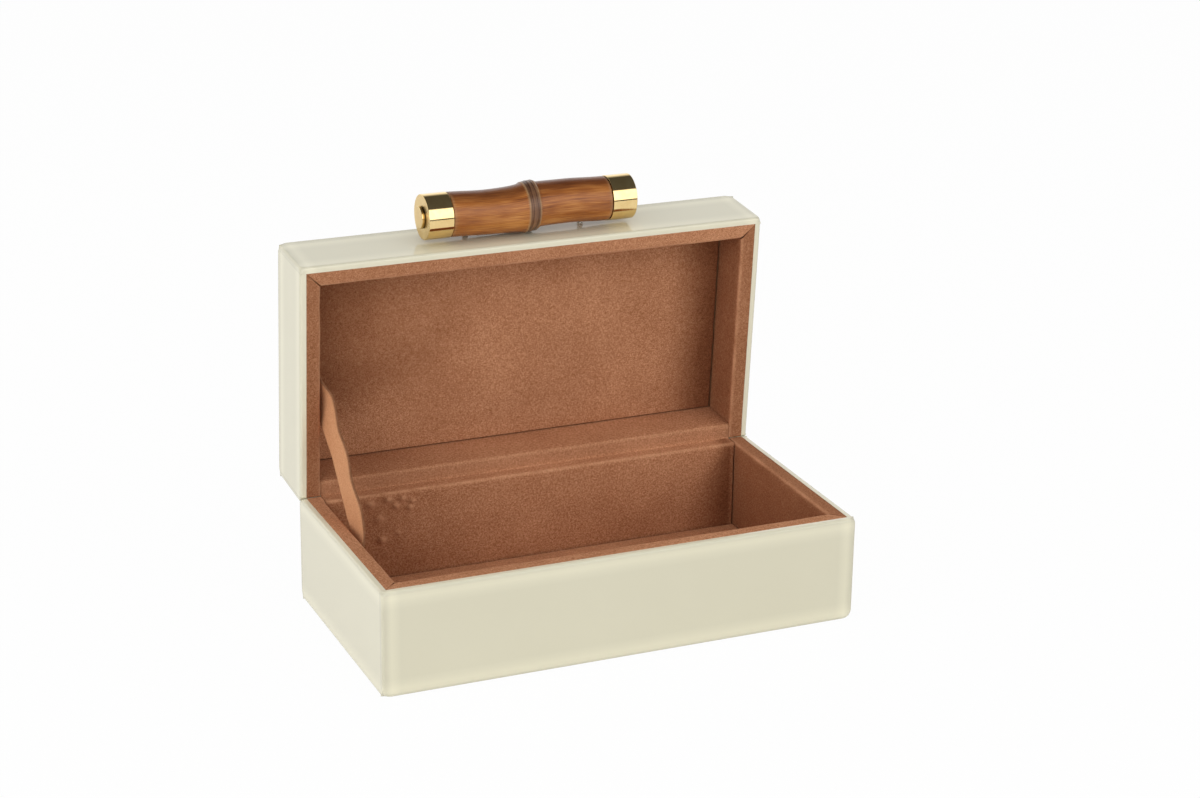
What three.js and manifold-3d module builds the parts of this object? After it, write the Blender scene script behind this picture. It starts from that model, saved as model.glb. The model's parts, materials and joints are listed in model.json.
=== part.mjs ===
// Hinged keepsake box: boards clad in painted glass, lined in suede, with a bamboo and brass handle.
// Millimetres, +Z up, front towards -Y. The origin is on the floor, under the middle of the base.
// The lid is modelled shut and then swung open on its suede hinge, to where the stay strap holds it.
import * as THREE from 'three';
import { mergeVertices } from 'three/addons/utils/BufferGeometryUtils.js';
import Module from 'manifold-3d';

const manifold = await Module();
manifold.setup();

// Carcass: the box of boards, measured outside the boards
const carcassWidth = 247.4;
const carcassDepth = 122.4;
const baseHeight = 54.6;
const lidHeight = 34.6;
const wallBoard = 6;
const bottomBoard = 6;
const topBoard = 8.5;

// Cladding and linings
const glassThickness = 3;
const glassArris = 1.4;
const glassCornerRadius = 5;
const buttedCornerEase = 0.2;
const rimSetBack = 0.5;
const glassDrop = 0.8;
const liningThickness = 1.2;
const feltThickness = 1;
const feltInset = 4;
const glueLine = 0.3;
const seamGap = 0.4;

// Hinge and stay
const openAngle = THREE.MathUtils.degToRad(86);
const closingGap = 0.4;
const hingeBehindCarcass = 0.5;
const mitreClearance = 0.3;
const strapReach = 57;
const strapDepth = 11;
const strapWidth = 18;
const strapThickness = 1.2;
const strapTab = 12;
const strapBulge = 3.5;

// Handle
const handleLength = 114.5;
const bambooDiameter = 23.1;
const nodeDiameter = 26.6;
const nodeFlare = 9;
const nodeRidge = 2.9;
const nodeGroove = 0.7;
const ferruleDiameter = 23.5;
const ferruleLength = 13.3;
const ferruleWall = 0.8;
const ferruleEnd = 1;
const ferruleEdge = 0.5;
const studHeadDiameter = 11.6;
const studHeadHeight = 1.5;
const studDome = 0.4;
const studShankDiameter = 3;
const studShankLength = 14;
const screwSpacing = 64;
const screwBehind = 4.4;
const screwDiameter = 2.8;
const screwHeadDiameter = 5.4;
const screwHeadHeight = 2;
const screwBite = 11;
const handleClearance = 0.3;

// Facets of the round pieces
const roundFacets = 32;
const smallFacets = 16;
const arrisFacets = 4;
const strapSteps = 24;
const weldDistance = 1e-5;

// Places that several pieces share
const halfWidth = carcassWidth / 2;
const halfDepth = carcassDepth / 2;
const rimWidth = wallBoard + glueLine + liningThickness;
const boardTop = liningThickness + glueLine;
const baseRim = feltThickness + glueLine + baseHeight;
const lidRim = baseRim + closingGap;
const hingeY = halfDepth + hingeBehindCarcass;
const hingeZ = (baseRim + lidRim) / 2;
const handleStandOff = nodeDiameter / 2 + handleClearance;

const finish = {
  glass: new THREE.MeshStandardMaterial({ color: 0xdcd6c0, roughness: 0.06, metalness: 0 }),
  board: new THREE.MeshStandardMaterial({ color: 0x9a7650, roughness: 0.85, metalness: 0 }),
  suede: new THREE.MeshStandardMaterial({ color: 0x95603f, roughness: 0.95, metalness: 0 }),
  strap: new THREE.MeshStandardMaterial({ color: 0xc48c62, roughness: 0.95, metalness: 0 }),
  felt: new THREE.MeshStandardMaterial({ color: 0x8b6248, roughness: 1, metalness: 0 }),
  bamboo: new THREE.MeshStandardMaterial({ color: 0x96562a, roughness: 0.35, metalness: 0 }),
  brass: new THREE.MeshStandardMaterial({ color: 0xd8b565, roughness: 0.15, metalness: 1 }),
  steel: new THREE.MeshStandardMaterial({ color: 0xa8a8a8, roughness: 0.4, metalness: 1 }),
};

function piece(name, geometry, material) {
  const mesh = new THREE.Mesh(geometry, material);
  mesh.name = name;
  return mesh;
}

// Solids and booleans

function toSolid(geometry) {
  const bare = geometry.clone();
  bare.deleteAttribute('normal');
  bare.deleteAttribute('uv');
  const welded = mergeVertices(bare, weldDistance);
  return new manifold.Manifold(new manifold.Mesh({
    numProp: 3,
    vertProperties: new Float32Array(welded.attributes.position.array),
    triVerts: new Uint32Array(welded.index.array),
  }));
}

function toGeometry(solid) {
  const mesh = solid.getMesh();
  const geometry = new THREE.BufferGeometry();
  geometry.setAttribute('position', new THREE.BufferAttribute(mesh.vertProperties, 3));
  geometry.setIndex(new THREE.BufferAttribute(mesh.triVerts, 1));
  geometry.computeVertexNormals();
  return geometry;
}

function cut(geometry, tools) {
  return toGeometry(tools.reduce((solid, tool) => solid.subtract(toSolid(tool)), toSolid(geometry)));
}

function join(first, second) {
  return toGeometry(toSolid(first).add(toSolid(second)));
}

// Basic forms

function block([x0, x1], [y0, y1], [z0, z1]) {
  const geometry = new THREE.BoxGeometry(x1 - x0, y1 - y0, z1 - z0);
  return geometry.translate((x0 + x1) / 2, (y0 + y1) / 2, (z0 + z1) / 2);
}

function slab(corners, [z0, z1]) {
  const shape = new THREE.Shape(corners.map(([x, y]) => new THREE.Vector2(x, y)));
  return new THREE.ExtrudeGeometry(shape, { depth: z1 - z0, bevelEnabled: false }).translate(0, 0, z0);
}

// A bar turned about Y, from [radius, y] points that run from axis to axis or close on themselves
function turned(points, facets) {
  return new THREE.LatheGeometry(points.map(([r, y]) => new THREE.Vector2(r, y)), facets);
}

// A straight round bar along Y
function rod(radius, y0, y1, facets) {
  return turned([[0, y0], [radius, y0], [radius, y1], [0, y1]], facets);
}

// A glass panel lying in XY, its rim edge towards +Y, from z = 0 down to z = -glassThickness.
// The edges of its face are polished round, and its back has square edges.
function glassPanel(width, height, rimRadius, farRadius) {
  const x = width / 2 - glassArris;
  const y = height / 2 - glassArris;
  const rim = rimRadius - glassArris;
  const far = farRadius - glassArris;
  const outline = new THREE.Shape();
  outline.absarc(x - rim, y - rim, rim, 0, Math.PI / 2);
  outline.absarc(rim - x, y - rim, rim, Math.PI / 2, Math.PI);
  outline.absarc(far - x, far - y, far, Math.PI, Math.PI * 1.5);
  outline.absarc(x - far, far - y, far, Math.PI * 1.5, Math.PI * 2);
  const panel = new THREE.ExtrudeGeometry(outline, {
    depth: glassThickness,
    bevelThickness: glassArris,
    bevelSize: glassArris,
    bevelSegments: arrisFacets,
    curveSegments: arrisFacets,
  });
  const pastBack = [-2 * (glassThickness + glassArris), -glassThickness];
  return cut(panel.translate(0, 0, -glassThickness - glassArris), [
    block([-width, width], [-height, height], pastBack),
  ]);
}

// Trays: base and lid are built alike, rim at z = 0 with the inside below it, front towards -Y

const insideX = halfWidth - wallBoard - glueLine;
const insideY = halfDepth - wallBoard - glueLine;
const liningX = halfWidth - rimWidth;
const liningY = halfDepth - rimWidth;

function handleScrewPlaces() {
  return [-screwSpacing / 2, screwSpacing / 2];
}

// Round tools for what the handle screws pass through, along Y.
// They stand off the handle's middle line, towards the lid's top, where the bamboo hides them from the front.
function screwHoles(diameter, y0, y1, height) {
  return handleScrewPlaces().map((x) =>
    rod(diameter / 2, y0, y1, smallFacets).translate(x, 0, -height / 2 - screwBehind));
}

function makeBoards(tray) {
  const { prefix, height, floorBoard, floorName, right, holdsHandle } = tray;
  const floorTop = floorBoard - height;
  const wallZ = [floorTop + glueLine, -boardTop];
  const sideY = [wallBoard + glueLine - halfDepth, halfDepth - wallBoard - glueLine];
  let front = block([-halfWidth, halfWidth], [-halfDepth, wallBoard - halfDepth], wallZ);
  if (holdsHandle) {
    const shankHole = screwDiameter + 2 * glueLine;
    const headHole = screwHeadDiameter + 2 * glueLine;
    const headSeat = wallBoard - halfDepth - screwHeadHeight - glueLine;
    front = cut(front, [
      ...screwHoles(shankHole, -halfDepth - wallBoard, halfDepth, height),
      ...screwHoles(headHole, headSeat, halfDepth, height),
    ]);
  }
  const back = block([-halfWidth, halfWidth], [halfDepth - wallBoard, halfDepth], wallZ);
  const floor = block([-halfWidth, halfWidth], [-halfDepth, halfDepth], [-height, floorTop]);
  const end = block([halfWidth - wallBoard, halfWidth], sideY, wallZ);
  const otherEnd = block([-halfWidth, wallBoard - halfWidth], sideY, wallZ);
  return [
    piece(`${prefix}_front_board`, front, finish.board),
    piece(`${prefix}_back_board`, back, finish.board),
    piece(`${prefix}_right_board`, right > 0 ? end : otherEnd, finish.board),
    piece(`${prefix}_left_board`, right > 0 ? otherEnd : end, finish.board),
    piece(`${prefix}_${floorName}_board`, floor, finish.board),
  ];
}

// Front and back panels run the full width and cover the ends of the side panels; a top panel covers them all.
// The back panels are mitred along the hinge, so that base and lid clear each other when the lid is open.
function makeGlass(tray) {
  const { prefix, height, floorName, right, holdsHandle, glassFloor, glassPast } = tray;
  const standing = Math.PI / 2;
  const butted = glassArris + buttedCornerEase;
  const wallHeight = height - rimSetBack + glassPast;
  const wallMiddle = -rimSetBack - wallHeight / 2;
  const faceX = halfWidth + glueLine + glassThickness;
  const faceY = halfDepth + glueLine + glassThickness;
  const widePanel = () => glassPanel(2 * faceX, wallHeight, butted, glassCornerRadius)
    .rotateX(standing)
    .translate(0, -faceY, wallMiddle);

  const mitreReach = 4 * glassThickness;
  const mitre = block([-2 * faceX, 2 * faceX], [-mitreReach, mitreReach], [-mitreClearance, mitreReach])
    .rotateX(-openAngle / 2)
    .translate(0, hingeY, closingGap / 2);
  const handleHoles = screwHoles(screwDiameter + 2 * glueLine, -2 * faceY, 0, height);
  const sideCorner = glassFloor ? butted : glassCornerRadius;
  const sidePanel = (sign) => glassPanel(carcassDepth, wallHeight, butted, sideCorner)
    .rotateX(standing)
    .rotateZ(sign * standing)
    .translate(sign * faceX, 0, wallMiddle);
  const panels = [
    piece(`${prefix}_front_glass`, holdsHandle ? cut(widePanel(), handleHoles) : widePanel(), finish.glass),
    piece(`${prefix}_back_glass`, cut(widePanel().rotateZ(Math.PI), [mitre]), finish.glass),
    piece(`${prefix}_right_glass`, sidePanel(right), finish.glass),
    piece(`${prefix}_left_glass`, sidePanel(-right), finish.glass),
  ];
  if (glassFloor) {
    const floor = glassPanel(2 * faceX, 2 * faceY, glassCornerRadius, glassCornerRadius)
      .rotateX(Math.PI)
      .translate(0, 0, -height - glueLine - glassThickness);
    panels.push(piece(`${prefix}_${floorName}_glass`, floor, finish.glass));
  }
  return panels;
}

// Wall linings are single sheets, folded over the rim; the rim flaps meet in mitres at the front corners
function makeLinings(tray) {
  const { prefix, height, floorBoard, floorName, right, liningName } = tray;
  const rimZ = [-liningThickness, 0];
  const sheetZ = [floorBoard - height + glueLine, -liningThickness / 2];
  const seam = seamGap / 2;
  const sheetX = liningX - glueLine;
  const floorZ = [floorBoard - height + glueLine, floorBoard - height + glueLine + liningThickness];

  const frontFlap = slab([
    [-halfWidth + seam, -halfDepth],
    [halfWidth - seam, -halfDepth],
    [liningX - seam, -liningY],
    [-liningX + seam, -liningY],
  ], rimZ);
  const frontSheet = slab([
    [-insideX + seam, -insideY],
    [insideX - seam, -insideY],
    [liningX - seam, -liningY],
    [-liningX + seam, -liningY],
  ], sheetZ);

  const sideLining = (sign) => {
    const flap = slab([
      [sign * halfWidth, -halfDepth + seam],
      [sign * halfWidth, halfDepth],
      [sign * liningX, halfDepth],
      [sign * liningX, -liningY + seam],
    ], rimZ);
    const sheet = slab([
      [sign * insideX, -insideY + seam],
      [sign * insideX, insideY],
      [sign * liningX, insideY],
      [sign * liningX, -liningY + seam],
    ], sheetZ);
    return join(flap, sheet);
  };

  const hingeFlap = block([-sheetX, sheetX], [liningY, halfDepth], rimZ);
  const hingeSheet = block([-sheetX, sheetX], [liningY, insideY], sheetZ);
  const floorY = liningY - glueLine;
  const floorSheet = block([-sheetX, sheetX], [-floorY, floorY], floorZ);
  return [
    piece(`${prefix}_front_lining`, join(frontFlap, frontSheet), finish.suede),
    piece(`${prefix}_right_lining`, sideLining(right), finish.suede),
    piece(`${prefix}_left_lining`, sideLining(-right), finish.suede),
    piece(`${prefix}_hinge_sheet`, join(hingeFlap, hingeSheet), finish.suede),
    piece(`${prefix}_${liningName}_lining`, floorSheet, finish.suede),
  ];
}

function makeTray(tray) {
  const group = new THREE.Group();
  group.add(...makeBoards(tray), ...makeGlass(tray), ...makeLinings(tray));
  return group;
}

function makeFelt() {
  const x = halfWidth - feltInset;
  const y = halfDepth - feltInset;
  return piece('base_felt', block([-x, x], [-y, y], [0, feltThickness]), finish.felt);
}

// Handle: built along X, with the lid's front glass at y = handleStandOff

function alongX(geometry) {
  return geometry.rotateZ(-Math.PI / 2);
}

function makeBamboo() {
  const body = bambooDiameter / 2;
  const ridge = nodeDiameter / 2;
  const swell = (body + ridge) / 2;
  const shoulder = handleLength / 2 - ferruleLength - glueLine;
  const tip = handleLength / 2 - ferruleEnd - glueLine;
  const spigot = ferruleDiameter / 2 - ferruleWall - glueLine;
  const bore = studShankDiameter / 2 + glueLine;
  const boreEnd = handleLength / 2 - studShankLength - glueLine;
  const profile = [
    [0, -boreEnd],
    [bore, -boreEnd],
    [bore, -tip],
    [spigot, -tip],
    [spigot, -shoulder],
    [body, -shoulder],
    [body, -nodeRidge - nodeFlare],
    [(body + swell) / 2, -nodeRidge - nodeFlare / 3],
    [swell, -nodeRidge - nodeGroove],
    [ridge, -nodeRidge],
    [swell, -nodeGroove],
    [swell, nodeGroove],
    [ridge, nodeRidge],
    [swell, nodeRidge + nodeGroove],
    [body, nodeRidge + 2 * nodeGroove],
    [body, shoulder],
    [spigot, shoulder],
    [spigot, tip],
    [bore, tip],
    [bore, boreEnd],
    [0, boreEnd],
  ];
  const pilotDepth = handleStandOff - bambooDiameter / 2 + screwBite + glueLine;
  const pilots = handleScrewPlaces().map((x) =>
    rod(screwDiameter / 2 + glueLine, handleStandOff - pilotDepth, 2 * handleStandOff, smallFacets)
      .translate(x, 0, screwBehind));
  return piece('handle_bamboo', cut(alongX(turned(profile, roundFacets)), pilots), finish.bamboo);
}

function makeFerrule(name, sign) {
  const outer = ferruleDiameter / 2;
  const inner = outer - ferruleWall;
  const hole = studShankDiameter / 2 + glueLine;
  const end = handleLength / 2;
  const mouth = end - ferruleLength;
  const profile = [
    [hole, end],
    [hole, end - ferruleEnd],
    [inner, end - ferruleEnd],
    [inner, mouth],
    [outer, mouth],
    [outer, end - ferruleEdge],
    [outer - ferruleEdge, end],
    [hole, end],
  ];
  const cup = alongX(turned(profile, roundFacets));
  return piece(name, sign > 0 ? cup : cup.rotateZ(Math.PI), finish.brass);
}

function makeStud(name, sign) {
  const seat = handleLength / 2 + glueLine;
  const shank = studShankDiameter / 2;
  const head = studHeadDiameter / 2;
  const profile = [
    [0, handleLength / 2 - studShankLength],
    [shank, handleLength / 2 - studShankLength],
    [shank, seat],
    [head, seat],
    [head, seat + studHeadHeight - studDome],
    [head - studDome, seat + studHeadHeight],
    [0, seat + studHeadHeight],
  ];
  const stud = alongX(turned(profile, smallFacets));
  return piece(name, sign > 0 ? stud : stud.rotateZ(Math.PI), finish.brass);
}

function makeScrew(name, x) {
  const boardInside = handleStandOff + glassThickness + glueLine + wallBoard;
  const headSeat = boardInside - screwHeadHeight;
  const tip = bambooDiameter / 2 - screwBite;
  const profile = [
    [0, tip],
    [screwDiameter / 2, tip],
    [screwDiameter / 2, headSeat],
    [screwHeadDiameter / 2, headSeat],
    [screwHeadDiameter / 2, boardInside],
    [0, boardInside],
  ];
  return piece(name, turned(profile, smallFacets).translate(x, 0, screwBehind), finish.steel);
}

function makeHandle() {
  const [leftScrew, rightScrew] = handleScrewPlaces();
  const handle = new THREE.Group();
  handle.add(
    makeBamboo(),
    makeFerrule('handle_left_ferrule', -1),
    makeFerrule('handle_right_ferrule', 1),
    makeStud('handle_left_stud', -1),
    makeStud('handle_right_stud', 1),
    makeScrew('handle_left_screw', leftScrew),
    makeScrew('handle_right_screw', rightScrew),
  );
  return handle;
}

// Stay strap: flat tabs on the left walls of base and lid, and a slack bow between them

function makeStrap() {
  const baseEnd = new THREE.Vector3(0, hingeY - strapReach, hingeZ - strapDepth);
  const lidEnd = new THREE.Vector3(0, -strapReach, strapDepth)
    .applyAxisAngle(new THREE.Vector3(1, 0, 0), -openAngle)
    .add(new THREE.Vector3(0, hingeY, hingeZ));
  const run = lidEnd.clone().sub(baseEnd);
  const span = run.length();
  const along = run.normalize();
  const inward = new THREE.Vector3(1, 0, 0);
  const across = along.clone().cross(inward);

  const length = span + strapTab;
  const bow = (s) => {
    const share = THREE.MathUtils.clamp((s - strapTab) / (length - 2 * strapTab), 0, 1);
    return strapBulge * Math.sin(Math.PI * share) ** 2;
  };
  const stations = Array.from({ length: strapSteps + 1 }, (_, i) => (i / strapSteps) * length);
  const outline = new THREE.Shape([
    ...stations.map((s) => new THREE.Vector2(s, bow(s))),
    ...stations.toReversed().map((s) => new THREE.Vector2(s, bow(s) + strapThickness)),
  ]);
  const strap = new THREE.ExtrudeGeometry(outline, { depth: strapWidth, bevelEnabled: false });
  strap.translate(-strapTab / 2, glueLine, -strapWidth / 2);
  strap.applyMatrix4(new THREE.Matrix4().makeBasis(along, inward, across));
  strap.translate(-liningX, baseEnd.y, baseEnd.z);
  return piece('stay_strap', strap, finish.strap);
}

// Assembly

const base = makeTray({
  prefix: 'base',
  height: baseHeight,
  floorBoard: bottomBoard,
  floorName: 'bottom',
  liningName: 'floor',
  right: 1,
  holdsHandle: false,
  glassFloor: false,
  glassPast: glassDrop,
});
base.position.z = baseRim;

// Turned upside down about Y, so its own right side is at -X
const lidTray = makeTray({
  prefix: 'lid',
  height: lidHeight,
  floorBoard: topBoard,
  floorName: 'top',
  liningName: 'ceiling',
  right: -1,
  holdsHandle: true,
  glassFloor: true,
  glassPast: 0,
});
lidTray.rotation.y = Math.PI;
lidTray.position.set(0, -hingeY, lidRim - hingeZ);

const handle = makeHandle();
handle.position.set(
  0,
  -halfDepth - glueLine - glassThickness - handleStandOff - hingeY,
  lidRim + lidHeight / 2 - hingeZ,
);

const lid = new THREE.Group();
lid.add(lidTray, handle);
lid.position.set(0, hingeY, hingeZ);
lid.rotation.x = -openAngle;

const box = new THREE.Group();
box.add(base, makeFelt(), lid, makeStrap());

export default box;
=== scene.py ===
# %% [markdown]
# # Dressing a keepsake box
# The real box is two shallow trays of board, a base and a lid. Outside they are clad in cream painted glass
# with polished edges, inside they are lined in brown suede, and a suede sheet joins them as the hinge. A
# bamboo grip with brass ends sits on the lid's front. The solids are already right in size and place, so
# this lesson only dresses them: glass panels, suede sheets and turned pieces are remade as fine meshes that
# stand in for the solids, and every surface gets a finish made of shader nodes.

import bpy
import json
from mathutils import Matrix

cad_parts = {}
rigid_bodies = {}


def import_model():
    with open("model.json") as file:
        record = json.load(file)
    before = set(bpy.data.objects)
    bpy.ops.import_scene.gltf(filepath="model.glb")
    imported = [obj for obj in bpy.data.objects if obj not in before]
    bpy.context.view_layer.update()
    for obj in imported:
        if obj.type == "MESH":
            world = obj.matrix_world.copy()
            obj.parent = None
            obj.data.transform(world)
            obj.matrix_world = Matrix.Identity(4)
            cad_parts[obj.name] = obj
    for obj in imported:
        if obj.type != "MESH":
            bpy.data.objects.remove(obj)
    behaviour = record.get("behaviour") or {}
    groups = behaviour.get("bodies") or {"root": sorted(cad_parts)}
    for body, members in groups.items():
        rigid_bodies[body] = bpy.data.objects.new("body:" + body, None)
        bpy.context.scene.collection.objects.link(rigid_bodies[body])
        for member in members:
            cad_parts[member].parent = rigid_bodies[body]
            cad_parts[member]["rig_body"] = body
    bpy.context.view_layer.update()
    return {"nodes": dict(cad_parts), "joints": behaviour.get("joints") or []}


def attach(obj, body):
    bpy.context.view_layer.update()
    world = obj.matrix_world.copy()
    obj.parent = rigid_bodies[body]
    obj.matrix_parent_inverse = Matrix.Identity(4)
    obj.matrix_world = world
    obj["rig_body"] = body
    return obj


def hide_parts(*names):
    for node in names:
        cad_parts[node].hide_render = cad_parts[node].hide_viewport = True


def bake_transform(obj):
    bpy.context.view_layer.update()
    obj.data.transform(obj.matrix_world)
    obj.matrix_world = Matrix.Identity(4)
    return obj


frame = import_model()

# %% [markdown]
# ## Measuring the solids
# The box is loaded with its lid open, which makes the lid's pieces awkward to measure. Shut, everything is
# square to the axes. So one matrix swings the lid shut for measuring, and its inverse swings whatever is
# modelled shut back to where the frame holds the lid.

# %% Measuring helpers
import json
import math

import bmesh
import bpy
import numpy as np
from mathutils import Matrix, Vector, noise

MM = 0.001
lid_joint = frame["joints"][0]
HINGE = Vector(lid_joint["pos_m"])
SWING = math.radians(lid_joint["range_deg"][1])
TO_SHUT = Matrix.Translation(HINGE) @ Matrix.Rotation(SWING, 4, "X") @ Matrix.Translation(-HINGE)
TO_OPEN = TO_SHUT.inverted()


def shut_box(node):
    """Lowest and highest corner of a solid, in metres, with the lid shut."""
    solid = frame["nodes"][node]
    turn = TO_SHUT if solid["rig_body"] == "lid" else Matrix.Identity(4)
    places = np.array([turn @ vertex.co for vertex in solid.data.vertices])
    return places.min(0), places.max(0)


def swung_open(places):
    """Places on the shut lid, moved to where the open lid has them."""
    turn = np.array(TO_OPEN)
    return places @ turn[:3, :3].T + turn[:3, 3]


print("hinge at, mm:", [round(c / MM, 1) for c in HINGE], "swing, degrees:", round(math.degrees(SWING), 1))

# %% [markdown]
# ## Camera
# The camera stands in front and to the left of the box and looks down on it. Its place, tilt and focal
# length were found by matching the corners of the rims, so the frame needs no shift. A long lens keeps the
# sides of the box nearly parallel, as in a catalogue picture.

# %% Camera
CAMERA_PLACE = Vector((-514.7, -1205.8, 595.7)) * MM
CAMERA_PITCH = math.radians(-20.13)
CAMERA_YAW = math.radians(-23.61)
CAMERA_ROLL = math.radians(0.87)
CAMERA_LENS = 83.37
SENSOR_WIDTH = 36.0
scene = bpy.context.scene


def add_object(name, data):
    """A new object in the scene."""
    made = bpy.data.objects.new(name, data)
    scene.collection.objects.link(made)
    return made


forward = Vector((
    -math.sin(CAMERA_YAW) * math.cos(CAMERA_PITCH),
    math.cos(CAMERA_YAW) * math.cos(CAMERA_PITCH),
    math.sin(CAMERA_PITCH),
))
level_right = Vector((math.cos(CAMERA_YAW), math.sin(CAMERA_YAW), 0))
level_up = level_right.cross(forward)
right = math.cos(CAMERA_ROLL) * level_right + math.sin(CAMERA_ROLL) * level_up
up = right.cross(forward)
camera_turn = Matrix((right, up, -forward)).transposed()

camera_data = bpy.data.cameras.new("camera")
camera_data.lens = CAMERA_LENS
camera_data.sensor_width = SENSOR_WIDTH
camera = add_object("camera", camera_data)
camera.matrix_world = Matrix.Translation(CAMERA_PLACE) @ camera_turn.to_4x4()
scene.camera = camera
scene.view_settings.view_transform = "Standard"
print("camera stands back, mm:", round(CAMERA_PLACE.length / MM))

# %% [markdown]
# ## Shader nodes without the clutter
# A finish is a small graph of nodes, and a few helpers keep the recipes short. They add a node and fill or
# link its sockets, turn a display colour into the linear colour that shaders work in, add up weighted
# values, and mix or look up colours. A value that is the same all over a surface goes straight into the
# shader's own socket.

# %% Node helpers
WHITE = (1, 1, 1, 1)


def fill(tree, node, inputs):
    """Fills a node's inputs: a socket is linked, and any other value is set."""
    for key, value in inputs.items():
        if isinstance(value, bpy.types.NodeSocket):
            tree.links.new(value, node.inputs[key])
        else:
            node.inputs[key].default_value = value


def add(tree, kind, inputs=None, **settings):
    """A new node with its settings and inputs."""
    made = tree.nodes.new(kind)
    for key, value in settings.items():
        setattr(made, key, value)
    fill(tree, made, inputs or {})
    return made


def tone(red, green, blue):
    """A display colour, 0 to 255, as a linear colour."""
    shares = [channel / 255 for channel in (red, green, blue)]
    return [c / 12.92 if c <= 0.04045 else ((c + 0.055) / 1.055) ** 2.4 for c in shares] + [1.0]


def compute(tree, operation, first, second):
    return add(tree, "ShaderNodeMath", {0: first, 1: second}, operation=operation).outputs[0]


def weighted(tree, total, *parts):
    """A number plus some values, each times its weight."""
    for value, weight in parts:
        inputs = {0: value, 1: weight, 2: total}
        total = add(tree, "ShaderNodeMath", inputs, operation="MULTIPLY_ADD").outputs[0]
    return total


def mixed(tree, share, first, second, how="MIX"):
    """Two colours mixed by a share, as paints or as layers."""
    inputs = {0: share, 6: first, 7: second}
    return add(tree, "ShaderNodeMix", inputs, data_type="RGBA", blend_type=how).outputs[2]


def graded(tree, share, *stops):
    """A colour looked up along a ramp of (place, colour) stops."""
    ramp = add(tree, "ShaderNodeValToRGB", {0: share})
    elements = ramp.color_ramp.elements
    while len(elements) < len(stops):
        elements.new(1.0)
    for element, (place, colour) in zip(elements, stops):
        element.position = place
        element.color = colour
    return ramp.outputs[0]


print("a middle grey is", round(tone(118, 118, 118)[0], 3), "in linear light")

# %% [markdown]
# ## Studio
# The box was photographed on a white sweep, between a large soft light on the left and a weaker one on the
# right, with a little light from the far left, the front and above. Between the lights the room is dark.
# That hardly shows on suede, but polished brass mirrors it as a dark band. So the lamps light the surfaces,
# and the world has a second face for glossy rays only, a ramp over the angle above the front horizon. The
# floor is white to the camera and still takes a soft shadow.

# %% Lamps
LIT_POINT = Vector((0, 0, 90)) * MM


def softbox(name, place, width, height, watts):
    """A soft rectangular lamp that faces the box and doesn't show in reflections."""
    lamp = bpy.data.lights.new(name, "AREA")
    lamp.shape = "RECTANGLE"
    lamp.size = width
    lamp.size_y = height
    lamp.energy = watts
    holder = add_object(name, lamp)
    holder.location = place
    holder.rotation_euler = (LIT_POINT - Vector(place)).to_track_quat("-Z", "Y").to_euler()
    holder.visible_glossy = False


softbox("left_softbox", (-1.7, -1.15, 0.85), 2.2, 1.8, 22)
softbox("side_softbox", (-2.3, 0.3, 0.8), 1.2, 1.2, 6)
softbox("right_softbox", (1.4, -1.3, 0.85), 1.6, 1.4, 9.5)
softbox("front_softbox", (0.35, -2.0, 0.95), 2.2, 1.5, 1)
softbox("top_softbox", (0.3, -0.2, 2.1), 1.6, 1.6, 5.5)

# %% World
AMBIENT = 0.46
SKY_LEVELS = (
    (-180, 0.75), (-12, 0.75), (-9, 0.04), (-2, 0.04), (0, 2.3), (46, 2.3), (50, 0.1),
    (134, 0.08), (146, 0.7), (155, 1.25), (180, 1.25),
)

world = bpy.data.worlds.new("studio")
scene.world = world
world.use_nodes = True
sky = world.node_tree
sky.nodes.clear()
direction = add(sky, "ShaderNodeSeparateXYZ", {0: add(sky, "ShaderNodeTexCoord").outputs["Generated"]})
towards_front = compute(sky, "MULTIPLY", direction.outputs["Y"], -1.0)
angle = compute(sky, "ARCTAN2", direction.outputs["Z"], towards_front)
around = add(sky, "ShaderNodeMapRange", {0: angle, 1: -math.pi, 2: math.pi}).outputs[0]
brightest = max(level for _, level in SKY_LEVELS)
sky_stops = [((degrees + 180) / 360, (level / brightest,) * 3 + (1.0,)) for degrees, level in SKY_LEVELS]
studio = graded(sky, around, *sky_stops)
ambient = add(sky, "ShaderNodeBackground", {"Color": WHITE, "Strength": AMBIENT}).outputs[0]
mirrored = add(sky, "ShaderNodeBackground", {"Color": studio, "Strength": brightest}).outputs[0]
backdrop = add(sky, "ShaderNodeBackground", {"Color": WHITE, "Strength": 1.0}).outputs[0]
rays = add(sky, "ShaderNodeLightPath").outputs
seen = compute(sky, "MAXIMUM", rays["Is Camera Ray"], rays["Is Transmission Ray"])
lighting = add(sky, "ShaderNodeMixShader", {0: rays["Is Glossy Ray"], 1: ambient, 2: mirrored}).outputs[0]
shown = add(sky, "ShaderNodeMixShader", {0: seen, 1: lighting, 2: backdrop}).outputs[0]
add(sky, "ShaderNodeOutputWorld", {0: shown})
print("studio ramp stops:", len(sky_stops))

# %% Floor
FLOOR_LOW = (-2.6, -1.5)
FLOOR_HIGH = (2.9, 3.4)
FLOOR_SHADOW = 0.03
PAPER = (0.9, 0.9, 0.89, 1)

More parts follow.
